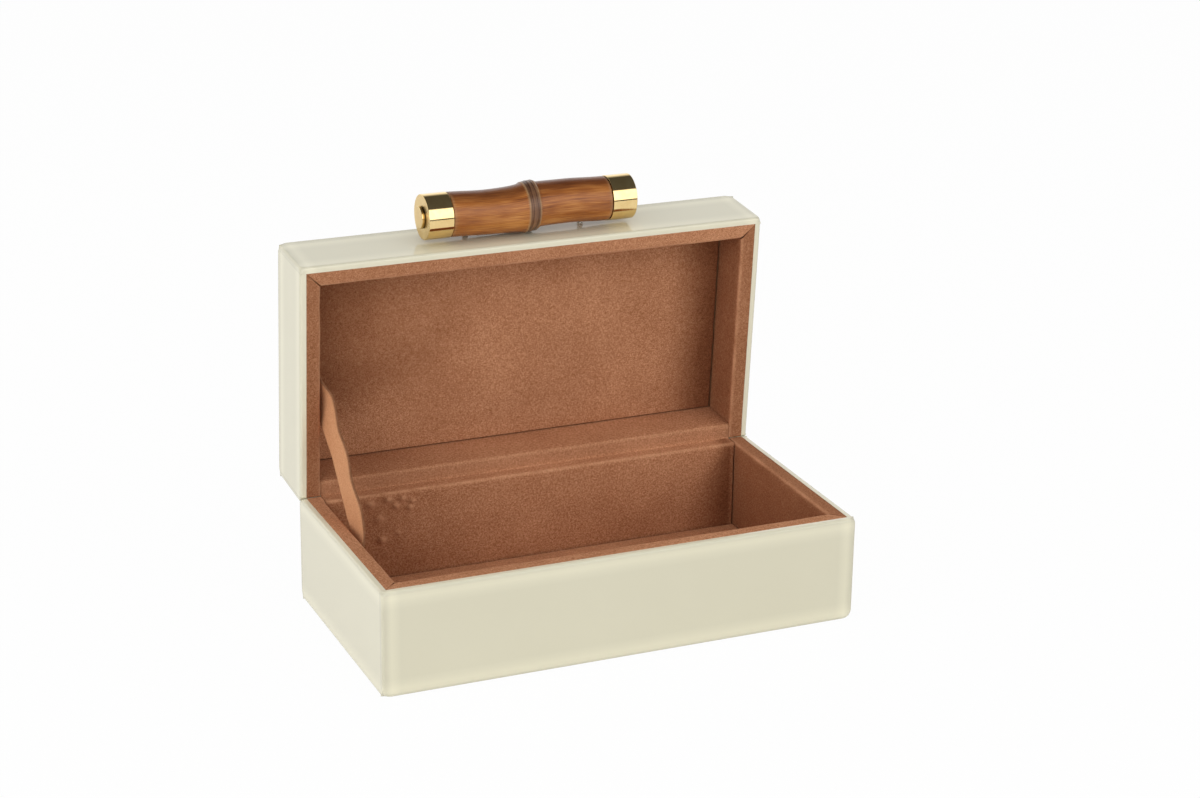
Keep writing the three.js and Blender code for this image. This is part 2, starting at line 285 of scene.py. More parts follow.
corners = [(x, y, 0) for x in (FLOOR_LOW[0], FLOOR_HIGH[0]) for y in (FLOOR_LOW[1], FLOOR_HIGH[1])]
floor_mesh = bpy.data.meshes.new("studio_floor")
floor_mesh.from_pydata(corners, [], [(0, 2, 3, 1)])
floor = add_object("studio_floor", floor_mesh)
sweep = bpy.data.materials.new("white_sweep")
sweep.use_nodes = True
tree = sweep.node_tree
tree.nodes.clear()
rays = add(tree, "ShaderNodeLightPath").outputs
paper = add(tree, "ShaderNodeBsdfDiffuse", {"Color": PAPER}).outputs[0]
white = add(tree, "ShaderNodeEmission", {"Color": WHITE, "Strength": 1.0}).outputs[0]
seen = compute(tree, "MAXIMUM", rays["Is Camera Ray"], rays["Is Transmission Ray"])
seen = compute(tree, "MAXIMUM", seen, rays["Is Glossy Ray"])
share = compute(tree, "MULTIPLY", seen, 1 - FLOOR_SHADOW)
surface = add(tree, "ShaderNodeMixShader", {0: share, 1: paper, 2: white}).outputs[0]
add(tree, "ShaderNodeOutputMaterial", {"Surface": surface})
floor_mesh.materials.append(sweep)
print("floor, m:", FLOOR_HIGH[0] - FLOOR_LOW[0], "by", FLOOR_HIGH[1] - FLOOR_LOW[1])

# %% [markdown]
# ## Making a mesh piece
# Every piece ends the same way: a mesh from places and faces, normals facing out, a finish, a body to ride
# on and the solids that it stands for. Some finishes need to know where on the flat sheet or panel a point
# lies, so a piece can carry such places as named attributes. They stay with the surface when the lid moves.

# %% Piece helpers
def make_piece(name, places, faces, finish, body, stands_for, slot, **marks):
    """A finished mesh piece. Each mark is a named attribute: a number or a place for every point."""
    mesh = bpy.data.meshes.new(name)
    mesh.from_pydata(places.tolist(), [], [[int(i) for i in face] for face in faces])
    for mark, values in marks.items():
        values = np.asarray(values, np.float32)
        kind, field = ("FLOAT", "value") if values.ndim == 1 else ("FLOAT_VECTOR", "vector")
        mesh.attributes.new(mark, kind, "POINT").data.foreach_set(field, values.ravel())
    shape = bmesh.new()
    shape.from_mesh(mesh)
    bmesh.ops.recalc_face_normals(shape, faces=shape.faces)
    shape.to_mesh(mesh)
    shape.free()
    mesh.shade_smooth()
    mesh.materials.append(finish)
    made = add_object(name, mesh)
    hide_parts(*stands_for)
    if body:
        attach(made, body)
    return made


def keep_faces_flat(piece):
    """Shades large faces flat, so that only the rounded edges blend."""
    flat_faces = piece.modifiers.new("flat_faces", "WEIGHTED_NORMAL")
    flat_faces.mode = "FACE_AREA"
    flat_faces.weight = 100


print("pieces so far:", len(frame["nodes"]), "solids")

# %% Finish helpers
def principled(name):
    """A new material with its node tree and its main shader."""
    material = bpy.data.materials.new(name)
    material.use_nodes = True
    return material, material.node_tree, material.node_tree.nodes["Principled BSDF"]


def mark_of(tree, name):
    return add(tree, "ShaderNodeAttribute", attribute_name=name).outputs


def marked(tree, name, weight):
    """A piece's mark, times a weight."""
    return compute(tree, "MULTIPLY", mark_of(tree, name)["Fac"], weight)


def grain(tree, place, size, detail, stretch=(1, 1, 1)):
    """Soft noise with features of about that size, in metres, stretched along each axis."""
    scale = [1 / (size * s) for s in stretch]
    spread = add(tree, "ShaderNodeVectorMath", {0: place, 1: scale}, operation="MULTIPLY").outputs[0]
    inputs = {"Vector": spread, "Scale": 1.0, "Detail": detail, "Roughness": 0.6}
    return add(tree, "ShaderNodeTexNoise", inputs).outputs["Fac"]


def bumped(tree, height, distance, strength, under=None):
    """A normal roughened by a height, over another such normal if one is given."""
    inputs = {"Height": height, "Distance": distance, "Strength": strength}
    if under is not None:
        inputs["Normal"] = under
    return add(tree, "ShaderNodeBump", inputs).outputs[0]


print("finish helpers: 5")

# %% [markdown]
# ## Painted glass
# The cladding is clear glass, painted cream on its back. Real refraction would need many light bounces for
# a panel 3 mm thick and would still look flat, so the paint and the glass are one glossy surface here. What
# gives glass away is its border. Light that enters at the polished edge makes a paler band on the paint
# behind it, and the polished edge itself catches the light. Both are painted into the colour here: a painted
# band of light and a painted highlight on the edge. Where a panel laps over the end of another there is no
# paint behind the border, so it is darker and the painted band lies further in. The finish reads how far
# each point is from the panel's ends and tints the paint by it, once for each direction.

# %% Painted glass finish
CREAM = tone(222, 217, 194)
CLOUD_TONE = tone(196, 192, 170)
CLOUD = 60 * MM
SMEAR = 25 * MM
BAND_REACH = 10 * MM
# Tints by distance from the end, in mm: a painted highlight on the polished edge, a faint darker line, then
# the painted band of edge light fading into the plain cream.
RIM_EDGE_LIGHT_TINTS = (
    (0.0, 1.13), (0.4, 1.0), (0.9, 0.96), (1.3, 1.0), (2.2, 1.10), (4.0, 1.12), (6.6, 1.05), (9.5, 1.0),
)
# At a lap: darker where no paint lies behind, then the painted band of edge light.
LAP_EDGE_LIGHT_TINTS = ((0.0, 0.91), (1.1, 0.93), (2.2, 0.97), (3.6, 1.05), (4.8, 1.09), (6.2, 1.07), (9.5, 1.0))
PALEST = 1.13


def border_tint_and_light(tree, distance, tints):
    """The tint at a distance from a panel's end, painted edge light included, as a share of the palest tint.
    """
    stops = [(place * MM / BAND_REACH, [tint / PALEST] * 3 + [1.0]) for place, tint in tints]
    return graded(tree, compute(tree, "DIVIDE", distance, BAND_REACH), *stops)


painted_glass, tree, shader = principled("painted_glass")
panel_place = mark_of(tree, "panel_place")["Vector"]
from_middle = add(tree, "ShaderNodeVectorMath", {0: panel_place}, operation="ABSOLUTE").outputs[0]
half_panel = mark_of(tree, "panel_half")["Vector"]
to_edge = add(tree, "ShaderNodeVectorMath", {0: half_panel, 1: from_middle}, operation="SUBTRACT").outputs[0]
distances = add(tree, "ShaderNodeSeparateXYZ", {0: to_edge}).outputs
laps = add(tree, "ShaderNodeSeparateXYZ", {0: mark_of(tree, "panel_lap")["Vector"]}).outputs
paint_and_edge_light = [c * PALEST ** 2 for c in CREAM[:3]] + [1.0]
# Multiplies in the painted edge light and the darker laps, once for each direction.
for side in ("X", "Y"):
    at_rim = border_tint_and_light(tree, distances[side], RIM_EDGE_LIGHT_TINTS)
    at_lap = border_tint_and_light(tree, distances[side], LAP_EDGE_LIGHT_TINTS)
    paint_and_edge_light = mixed(tree, 1.0, paint_and_edge_light, mixed(tree, laps[side], at_rim, at_lap), "MULTIPLY")
place = add(tree, "ShaderNodeTexCoord").outputs["Object"]
cloud = grain(tree, place, CLOUD, 2.0)
smear = grain(tree, place, SMEAR, 4.0)
paint_and_edge_light = mixed(tree, compute(tree, "MULTIPLY", cloud, 0.10), paint_and_edge_light, CLOUD_TONE, "MULTIPLY")
fill(tree, shader, {
    "Base Color": paint_and_edge_light,
    "Roughness": weighted(tree, 0.04, (smear, 0.08)),
    "IOR": 1.52,
    "Specular IOR Level": 0.32,
})
print("border tints on the glass:", len(RIM_EDGE_LIGHT_TINTS) + len(LAP_EDGE_LIGHT_TINTS))

# %% [markdown]
# ## Glass panels
# Each panel is a rectangle, and the edges of its face are polished to a quarter round. A bevel modifier on
# a slab would do, but a panel is simple to build directly: the same outline is drawn again and again, drawn
# in and moved back along a quarter circle, and the rings are joined. The two flat faces close it. The
# corners of the front, back and top panels were ground after gluing: they are round at the face and square
# at the back, where the next panel goes on. The two back panels are mitred along the hinge, so that they
# clear each other when the lid is open.

# %% Panel outlines
LOW_CORNER = 5 * MM
RIM_CORNER = 3 * MM
SQUARE_CORNER = 0.1 * MM
LEAST_RADIUS = 0.05 * MM
POLISHED_EDGE = 1.4 * MM
BACK_INSET = 0.05 * MM
CORNER_STEPS = 10
EDGE_STEPS = 8
SIDE_STEPS = 4


def rounded_outline(low, high, radius_low, radius_high):
    """Points round a rectangle, counter-clockwise, with corner radii for its low and its high edge."""
    quarter = np.linspace(0, math.pi / 2, CORNER_STEPS)
    turns = [(high[0], high[1], radius_high), (low[0], high[1], radius_high),
             (low[0], low[1], radius_low), (high[0], low[1], radius_low)]
    points = []
    for count, (x, y, radius) in enumerate(turns):
        angles = quarter + count * math.pi / 2
        inwards = np.array([1 if x == high[0] else -1, 1 if y == high[1] else -1])
        around = np.stack([np.cos(angles), np.sin(angles)], -1)
        points.append(np.array([x, y]) - radius * inwards + radius * around)
    return np.concatenate(points)


def panel_corners(tray, side):
    """Corner radii of a panel's face at its low and its high edge."""
    if side == "top":
        return LOW_CORNER, LOW_CORNER
    if side in ("left", "right"):
        return SQUARE_CORNER, SQUARE_CORNER
    return (LOW_CORNER, RIM_CORNER) if tray == "base" else (RIM_CORNER, SQUARE_CORNER)


def panel_rings(half, depth, corners, edge_low, edge_high):
    """A panel's outlines: round its polished edge, down its side and just inside its back."""
    turn = np.linspace(math.pi / 2, 0, EDGE_STEPS)
    drawn_in = np.concatenate([1 - np.cos(turn), np.zeros(SIDE_STEPS), [0]])
    down = np.concatenate([POLISHED_EDGE * (1 - np.sin(turn)),
                           np.linspace(POLISHED_EDGE, depth, SIDE_STEPS + 1)[1:], [depth]])
    inset = np.zeros(len(down))
    inset[-1] = BACK_INSET
    rings = []
    for share, level, back in zip(drawn_in, down, inset):
        kept = 1 - (level / depth) ** 2
        radii = [max(corner * kept - share * POLISHED_EDGE, LEAST_RADIUS) for corner in corners]
        outline = rounded_outline(share * edge_low + back - half, half - share * edge_high - back, *radii)
        rings.append(np.column_stack([outline, np.full(len(outline), level)]))
    return rings


print("points round a panel:", 4 * CORNER_STEPS, "outlines:", EDGE_STEPS + SIDE_STEPS + 1)

# %% Glass panels
RIM_RAISE = 0.35 * MM
JOINT_LAP = 0.03 * MM
GLUE_LINE = 0.28 * MM
MITRE_CLEAR = 0.3 * MM
NO_BAND = 20 * MM
LAPPED = {"front": (1, 0), "back": (1, 0), "left": (0, 0), "right": (0, 0), "top": (1, 1)}
PANELS = ["base_front", "base_back", "base_left", "base_right",
          "lid_front", "lid_back", "lid_left", "lid_right", "lid_top"]


def mitred(places, tray):
    """Shut places of a back panel, cut back to the plane halfway between the open lid and the base."""
    clearance = MITRE_CLEAR / math.cos(SWING / 2)
    below_hinge = clearance + (places[:, 1] - HINGE.y) * math.tan(SWING / 2)
    if tray == "base":
        places[:, 2] = np.minimum(places[:, 2], HINGE.z - below_hinge)
    else:
        places[:, 2] = np.maximum(places[:, 2], HINGE.z + below_hinge)
    return places


def glass_panel(part):
    """One painted panel that stands for the solid of the same name."""
    node = f"{part}_glass"
    tray, side = part.split("_")
    is_end = side in ("left", "right")
    low, high = shut_box(node)
    if tray == "base":
        high[2] += RIM_RAISE
    elif side != "top":
        low[2] -= RIM_RAISE
    if is_end:
        low[1] -= JOINT_LAP
        high[1] += JOINT_LAP
    size = high - low
    across = int(np.argmin(size))
    flat = [axis for axis in range(3) if axis != across]
    half = size[flat] / 2
    edge_low = np.where([is_end, False], 0, POLISHED_EDGE)
    edge_high = np.where([is_end, tray == "lid" and side != "top"], 0, POLISHED_EDGE)
    rings = panel_rings(half, size[across] + GLUE_LINE, panel_corners(tray, side), edge_low, edge_high)
    count = len(rings[0])
    local = np.concatenate(rings)
    local[:, 2] = size[across] / 2 - local[:, 2]
    faces = []
    for start in range(0, len(local) - count, count):
        for i in range(count):
            j = (i + 1) % count
            faces.append([start + i, start + j, start + count + j, start + count + i])
    faces.append(list(range(count)))
    faces.append(list(range(len(local) - count, len(local))))
    outwards = -1 if side in ("front", "left") else 1
    places = np.empty_like(local)
    places[:, flat] = local[:, :2]
    places[:, across] = local[:, 2] * outwards
    places += (low + high) / 2
    if side == "back":
        places = mitred(places, tray)
    if tray == "lid":
        places = swung_open(places)
    reach = np.array([*half, 0]) + NO_BAND * np.array([is_end, 0, 0])
    panel = make_piece(f"{part}_panel", places, faces, painted_glass, tray, [node], "painted_glass",
                       panel_place=local, panel_half=np.tile(reach, (len(local), 1)),
                       panel_lap=np.tile([*LAPPED[side], 0], (len(local), 1)))
    keep_faces_flat(panel)
    return panel


panels = [glass_panel(part) for part in PANELS]
print("glass panels:", len(panels), "points each:", len(panels[0].data.vertices))

# %% [markdown]
# ## Suede
# Suede is leather buffed until its fibres stand up. Close to, it is a fine matt grain; a step back, it is
# blotchy, because the nap lies differently from place to place. So the finish mixes three grains, and the
# two finer ones also roughen the surface. A little sheen catches the light at a slant. A sheet whose nap
# lies away from the viewer looks darker and redder, and the same mark also carries painted shade: in
# corners, near walls, inside the box and at the foot of glue lumps. Folded edges are rubbed paler, and the
# same mark carries painted highlights on the crests of glue lumps. Cut edges are darker, and on the strap
# and the hinge sheet that darkening is widened into a painted shadow line. All three are marks that the
# sheets carry.

# %% Suede finish
BLOTCH = 30 * MM
MOTTLE = 1.3 * MM
NAP = 0.55 * MM
NAP_AND_SHADE_TONE = (0.45, 0.36, 0.30, 1.0)
SHEEN_TONE = tone(214, 160, 122)


def suede_finish(name, dark, middle, pale, cut_and_shade_tone):
    """Suede graded through three tones, with another tone at its cut edges, which also paints shadow lines
    along some of them.
    """
    finish, tree, shader = principled(name)
    place = mark_of(tree, "sheet_place")["Vector"]
    blotch = grain(tree, place, BLOTCH, 3.0)
    mottle = grain(tree, place, MOTTLE, 3.0)
    nap = grain(tree, place, NAP, 2.0)
    pattern = weighted(tree, 0.0, (blotch, 0.14), (mottle, 0.3), (nap, 0.56))
    colour = graded(tree, pattern, (0.37, dark), (0.5, middle), (0.63, pale))
    # The nap mark darkens where the nap lies away and where shade is painted; the wear mark pales worn edges
    # and painted highlights; the cut-edge mark darkens cut edges and painted shadow lines.
    colour = mixed(tree, mark_of(tree, "nap_and_shade")["Fac"], colour, NAP_AND_SHADE_TONE, "MULTIPLY")
    colour = mixed(tree, marked(tree, "wear_and_highlight", 0.55), colour, pale)
    colour = mixed(tree, marked(tree, "cut_edge_and_shade", 0.7), colour, cut_and_shade_tone)
    under = bumped(tree, mottle, 0.25 * MM, 0.5)
    fill(tree, shader, {
        "Base Color": colour,
        "Normal": bumped(tree, nap, 0.2 * MM, 0.6, under),
        "Roughness": 0.95,
        "Specular IOR Level": 0.15,
        "Sheen Weight": 0.12,
        "Sheen Roughness": 0.5,
        "Sheen Tint": SHEEN_TONE,
    })
    return finish


brown_tones = tone(152, 99, 67), tone(187, 130, 94), tone(215, 161, 123)
tan_tones = tone(186, 128, 88), tone(200, 143, 103), tone(212, 158, 118)
# The tan's cut-edge tone is very dark, to paint a shadow line along the strap's edges.
brown_suede = suede_finish("brown_suede", *brown_tones, cut_and_shade_tone=tone(112, 70, 46))
tan_suede = suede_finish("tan_suede", *tan_tones, cut_and_shade_tone=tone(84, 48, 30))
print("suede finishes:", brown_suede.name, tan_suede.name)

# %% [markdown]
# ## Sheets
# Every lining is a sheet of suede a little over a millimetre thick. A sheet is modelled as two grids of
# points, its face and its back, closed by strips round its border, so it is a solid with real edges. The
# rows and columns crowd together at the borders, where the cut edge is rounded off. Each sheet also says
# what it was cut to on the flat hide.

# %% Sheet helpers
SUEDE_THICK = 1.2 * MM
EDGE_ROUND = 0.5 * MM
EDGE_DROP = 0.25 * MM
CUT_REACH = 0.35 * MM
EDGE_CROWD = np.array([0, 0.12, 0.28, 0.5]) * MM
LEAST_STEP = 0.3 * MM


def stations(length, step, start_edge=True, end_edge=True):
    """Distances from 0 to length, crowded at the ends that are cut edges."""
    inner = np.linspace(0, length, max(2, round(length / step) + 1))
    first = EDGE_CROWD if start_edge else EDGE_CROWD[:1]
    last = length - (EDGE_CROWD if end_edge else EDGE_CROWD[:1])
    inner = inner[(inner > first.max() + LEAST_STEP) & (inner < last.min() - LEAST_STEP)]
    return np.concatenate([first, inner, last[::-1]])


def from_border(first, second):
    """How far each point of two grids of distances lies from the grids' border."""
    gaps = [gap for grid in (first, second) for gap in (grid - grid.min(), grid.max() - grid)]
    return np.minimum.reduce(gaps)


def near_edge(distance, reach=CUT_REACH):
    """1 at a cut edge, and 0 from the reach on."""
    return np.clip(1 - distance / reach, 0, 1)


def edge_drop(distance):
    """How far the face sinks at this distance from a cut edge."""
    return EDGE_DROP * near_edge(distance, EDGE_ROUND) ** 2


def smooth(share):
    """A share held between 0 and 1, eased at both ends."""
    share = np.clip(share, 0, 1)
    return share * share * (3 - 2 * share)


def wavering(first, second, size, seed):
    """Smooth noise between about -1 and 1 over two grids of distances, the same on every run."""
    first, second = np.broadcast_arrays(first, second)
    pairs = zip(first.ravel() / size, second.ravel() / size)
    return np.array([noise.noise(Vector((*pair, seed))) for pair in pairs]).reshape(first.shape)


print("sheet thickness, mm:", SUEDE_THICK / MM)

# %% Suede sheet
HIDE_APART = 0.37


def shell(face, back):
    """A closed mesh from two grids of points: places and faces."""
    rows, columns = face.shape[:2]
    places = np.concatenate([face.reshape(-1, 3), back.reshape(-1, 3)])
    over = np.arange(rows * columns).reshape(rows, columns)
    under = over + rows * columns
    quads = []
    for grid in (over, under[:, ::-1]):
        corners = [grid[:-1, :-1], grid[1:, :-1], grid[1:, 1:], grid[:-1, 1:]]
        quads.append(np.stack(corners, -1).reshape(-1, 4))
    border = np.concatenate([over[0], over[1:, -1], over[-1, -2::-1], over[-2:0:-1, 0]])
    below = border + rows * columns
    quads.append(np.stack([border, np.roll(border, -1), np.roll(below, -1), below], -1))
    return places, np.concatenate(quads)


def suede_sheet(name, face, back, flat, seed, finish, body, stands_for, slot,
                pale_wear_and_highlight=0, cut=0, nap=0):
    """A sheet from its two grids and its places on the hide, with its marks: wear and painted highlight,
    cut edges and painted shade, and nap and painted shade.
    """
    places, faces = shell(face, back)
    pale_wear_and_highlight, cut, nap = (np.broadcast_to(mark, face.shape[:2]).ravel() for mark in (pale_wear_and_highlight, cut, nap))
    hide = np.tile(flat.reshape(-1, 2), (2, 1))
    hide = np.column_stack([hide, np.full(len(hide), seed * HIDE_APART)])
    marks = {"wear_and_highlight": np.concatenate([pale_wear_and_highlight, 0 * pale_wear_and_highlight]),
             "cut_edge_and_shade": np.concatenate([cut, np.ones(cut.size)]),
             "nap_and_shade": np.concatenate([nap, nap])}
    if body == "lid":
        places = swung_open(places)
    piece = make_piece(name, places, faces, finish, body, stands_for, slot, sheet_place=hide, **marks)
    return piece


print("hides lie apart in the grain, mm:", HIDE_APART / MM)

# %% [markdown]
# ## Wall linings
# Each wall has one sheet: it runs up the inside of the wall, rolls over the rim and ends at the glass. At
# the front corners the rims meet in a mitre, where the cut gapes towards the inside. At the back a flat
# flap of each side sheet runs on along the rim, beside the hinge sheet, and is pared thin at its end. Hand
# work shows: the rolled edge wavers by a fraction of a millimetre. One function lays the sheet along a
# section and bends it round the rim.

# %% Rim section
CARCASS = shut_box("base_bottom_board")[1][:2]
RIM = {"base": shut_box("base_front_lining")[1][2], "lid": shut_box("lid_front_lining")[0][2]}
INWARD = {"base": -1, "lid": 1}
WALL_DEPTH = {
    "base": RIM["base"] - shut_box("base_front_lining")[0][2],
    "lid": shut_box("lid_front_lining")[1][2] - RIM["lid"],
}
SEAM_GAP = 0.3 * MM
LINING = shut_box("base_floor_lining")[1][:2] + SEAM_GAP
RIM_WIDTH = CARCASS[0] - LINING[0]
ROLL = 1.7 * MM
ROLL_STEPS = 8


def rim_section(depth):
    """A lining's section from the rim's edge: places outward and up, normals, lengths along the sheet."""
    top = RIM_WIDTH - ROLL
    out = stations(top, 1.5 * MM, end_edge=False)
    bend = np.linspace(0, math.pi / 2, ROLL_STEPS)[1:]
    down = stations(depth - ROLL, 2.5 * MM, start_edge=False)[1:]
    outward = np.concatenate([RIM_WIDTH - out, ROLL - ROLL * np.sin(bend), 0 * down])
    upward = np.concatenate([-edge_drop(out), ROLL * np.cos(bend) - ROLL, -ROLL - down])
    normal_out = np.concatenate([0 * out, -np.sin(bend), -1 + 0 * down])
    normal_up = np.concatenate([1 + 0 * out, np.cos(bend), 0 * down])
    length = np.concatenate([out, top + ROLL * bend, top + ROLL * math.pi / 2 + down])
    return outward, upward, normal_out, normal_up, length


print("rim width, mm:", round(RIM_WIDTH / MM, 2))

# %% Wall linings
MITRE_GAPE = 0.42 * MM
MITRE_SHUT = 0.03 * MM
FLAP_START = 1.2 * MM
FLAP_END = HINGE.y + 0.18 * MM
FLAP_PARED = 0.25 * MM
PARED_FROM = 1.0 * MM
PARED_OVER = 0.9 * MM
ALONG_STEP = 3 * MM
HAND_WAVER = 0.22 * MM
HAND_DEPTH = 9 * MM
LONG_WAVER = 17 * MM
SHORT_WAVER = 5 * MM
DENT = 0.09 * MM
DENT_SIZE = 11 * MM
WEAR_WIDTH = 0.9 * MM
# For each wall, the nap mark at the two ends of its rim and on its inside. It stands for the nap's lie and
# for painted shade, strongest on the right walls and the lid's left wall.
WALL_NAP_AND_SHADE = {
    ("base", "front"): (0.2, 0.05, 0.0),
    ("base", "left"): (0.25, 0.2, 0.0),
    ("base", "right"): (0.6, 0.6, 0.78),
    ("lid", "front"): (0.36, 0.0, 0.2),
    ("lid", "left"): (0.6, 0.7, 0.6),
    ("lid", "right"): (0.55, 0.55, 0.82),
}


def wall_lining(tray, side, seed, rim_start_nap_and_shade, rim_end_nap_and_shade, wall_nap_and_shade):
    """The sheet of one wall. The marks of nap and painted shade are for its rim, from end to end, and for
    its inside.
    """
    outward, upward, normal_out, normal_up, length = rim_section(WALL_DEPTH[tray])
    is_front = side == "front"
    along_half, across_half = LINING if is_front else LINING[::-1]
    carcass_half = CARCASS[0] if is_front else CARCASS[1]

    # The two ends: mitred at the front, and at the back a flat flap beside the hinge sheet.
    share = np.clip(outward / RIM_WIDTH, 0, 1)
    gape = MITRE_SHUT + (MITRE_GAPE - MITRE_SHUT) * smooth((0.7 - share) / 0.55)
    front_end = -(along_half + outward - gape)
    behind_hinge = along_half + SUEDE_THICK
    back_end = behind_hinge + (FLAP_END - behind_hinge) * smooth(outward / (0.25 * ROLL))
    far_end = -front_end if is_front else back_end
    steps = stations(2 * carcass_half, ALONG_STEP) / (2 * carcass_half)
    along = front_end + steps[:, None] * (far_end - front_end)
    flap = np.zeros_like(along) if is_front else smooth((along - along_half) / FLAP_START)
    flap = flap * (length < RIM_WIDTH + ROLL)
    outward = outward + flap * (np.clip(RIM_WIDTH - length, 0, None) - outward)
    upward = upward * (1 - flap)
    normal_out = normal_out * (1 - flap)
    normal_up = normal_up + flap * (1 - normal_up)

    # Hand work: the rolled edge wavers, the face is dented and the cut ends are rounded off.
    hand = wavering(along, 0 * along, LONG_WAVER, seed)
    hand = hand + 0.6 * wavering(along, 0 * along, SHORT_WAVER, seed + 9)
    inner = smooth((RIM_WIDTH - outward) / RIM_WIDTH) * np.exp(np.minimum(upward, 0) / HAND_DEPTH)
    moved = outward + HAND_WAVER * hand * inner
    dents = wavering(along, length, DENT_SIZE, seed + 3)
    edge = np.minimum(along - front_end, far_end - along)
    lift = DENT * dents - edge_drop(np.abs(edge)) * 0.6
    pared = 0 * along if is_front else smooth((along - carcass_half + PARED_FROM) / PARED_OVER)
    thick = SUEDE_THICK + (FLAP_PARED - SUEDE_THICK) * pared

    def placed(raised):
        out = across_half + moved + normal_out * raised
        height = RIM[tray] - INWARD[tray] * (upward + normal_up * raised)
        if is_front:
            return np.stack([along, -out, height], -1)
        return np.stack([out if side == "right" else -out, along, height], -1)

    roll_middle = RIM_WIDTH - ROLL + ROLL * math.pi / 4
    pale_wear_and_highlight = np.exp(-((length - roll_middle) / WEAR_WIDTH) ** 2) * (0.75 + 0.5 * dents)
    cut = near_edge(np.minimum(np.abs(edge), length + 0.2 * MM))
    # The rim's mark runs from end to end and blends into the inside's, nap and painted shade alike.
    rim_nap_and_shade = rim_start_nap_and_shade + (rim_end_nap_and_shade - rim_start_nap_and_shade) * steps[:, None]
    nap = rim_nap_and_shade + (wall_nap_and_shade - rim_nap_and_shade) * smooth((length - RIM_WIDTH + 1 * MM) / (3 * MM))
    flat = np.stack([along, np.broadcast_to(length, along.shape)], -1)
    return suede_sheet(f"{tray}_{side}_suede", placed(lift), placed(-thick), flat, seed, brown_suede, tray,
                       [f"{tray}_{side}_lining"], "suede",
                       pale_wear_and_highlight=pale_wear_and_highlight, cut=cut, nap=nap)


walls = [wall_lining(*wall, seed, *nap) for seed, (wall, nap) in enumerate(WALL_NAP_AND_SHADE.items(), 1)]
print("wall linings:", len(walls))

# %% [markdown]
# ## Floor and ceiling
# Two flat sheets are laid on the boards. They are glued down by hand, so they are not quite flat, and they
# stop just short of the walls. At its right end the ceiling was cut a little shorter still, which leaves a
# dark slit. The nap was brushed in patches. Towards the ceiling's two ends, near the walls, painted shade
# darkens the sheet through its nap mark.

# %% Floor and ceiling linings
EDGE_GAP = 0.1 * MM
END_GAP = 0.9 * MM
END_EASED = 10 * MM
END_WAVER = 8 * MM
PATCH_SIZE = 26 * MM
WAVE = 0.12 * MM
WAVE_SIZES = (34 * MM, 12 * MM)
WAVE_EASED = 4 * MM
LAID_STEP = 4 * MM
LEFT_SHADE_REACH = (115 * MM, 35 * MM)
RIGHT_SHADE_REACH = 32 * MM


def short_end(across, along, on, seed):
    """Places across a sheet, drawn back unevenly near its right end."""
    gap = END_GAP * (0.7 + 0.5 * wavering(0 * along, along, END_WAVER, seed)) * on
    return across - gap * smooth((across - across.max() + END_EASED) / END_EASED)


def patches(across, along, seed):
    """Patches where the nap was brushed another way, from 0 to 1."""
    return smooth(0.5 + 0.8 * wavering(0.6 * across, along, PATCH_SIZE, seed))


def laid_sheet(tray, kind, seed):
    """A flat lining, glued to a board."""
    node = f"{tray}_{kind}_lining"
    low, high = shut_box(node)
    x = low[0] + EDGE_GAP + stations(high[0] - low[0] - 2 * EDGE_GAP, LAID_STEP)
    y = low[1] + EDGE_GAP + stations(high[1] - low[1] - 2 * EDGE_GAP, LAID_STEP)
    across, along = np.meshgrid(x, y, indexing="ij")
    edge = from_border(across, along)
    waves = wavering(across, along, WAVE_SIZES[0], seed)
    waves = waves + 0.5 * wavering(across, along, WAVE_SIZES[1], seed + 5)
    lift = WAVE * waves * smooth(edge / WAVE_EASED) - edge_drop(edge)
    if kind == "ceiling":
        across = short_end(across, along, 1.0, seed + 8)
    nap = 0.16 * patches(across, along, seed + 7)
    # On the ceiling the nap mark paints shade towards both ends, near the walls.
    if kind == "ceiling":
        left_end = 0.7 * (1 - smooth((across - x[0]) / LEFT_SHADE_REACH[0]))
        left_end = left_end * (1 - smooth((along - 5 * MM) / LEFT_SHADE_REACH[1]))
        right_end = 1 - smooth((x[-1] - across) / RIGHT_SHADE_REACH)
        nap = np.minimum(np.maximum(left_end, right_end) + nap, 1)
    top, bottom = (high[2], low[2]) if tray == "base" else (low[2], high[2])
    face = np.stack([across, along, top - INWARD[tray] * lift], -1)
    back = np.stack([across, along, np.full_like(across, bottom)], -1)
    return suede_sheet(f"{tray}_{kind}_suede", face, back, np.stack([across, along], -1), seed, brown_suede,
                       tray, [node], "suede",
                       cut=near_edge(edge), nap=nap)


floor_lining = laid_sheet("base", "floor", 11)
ceiling_lining = laid_sheet("lid", "ceiling", 12)
print("laid sheets:", floor_lining.name, ceiling_lining.name)

# %% [markdown]
# ## Hinge sheet
# The hinge is one sheet of suede: down the inside of the base's back, out over its rim, up the lid's rim
# and along the inside of the lid's back. It has no metal. The base half is drawn where it lies and the lid
# half is drawn shut and swung open, with a small bend between them. The sheet is pared thin at the bend, as
# a leather worker would do, so that it can fold flat. Behind the strap drops of glue lift the sheet in small
# lumps, so the grid is finer there, and at the right its end was cut a little short.

# %% Hinge section
FOLD_THICK = 0.3 * MM
FOLD_PARED = 2.5 * MM
FOLD_FREE = 0.3 * MM
FOLD_DRAWN = 0.2 * MM
BEND_STEPS = 9
LUMP_STEP = 0.6
LUMPED_BELOW_FOLD = (9, 38)


def refined(values, extra, least=0.15 * MM):
    """Values with extra ones set between them, none closer to them than least."""
    apart = np.abs(extra[:, None] - values).min(1) > least
    return np.sort(np.concatenate([values, extra[apart]]))


def swung_section(points):
    """Section points (y, z) on the shut lid, as they lie on the open lid."""
    return swung_open(np.column_stack([np.zeros(len(points)), points]))[:, 1:]


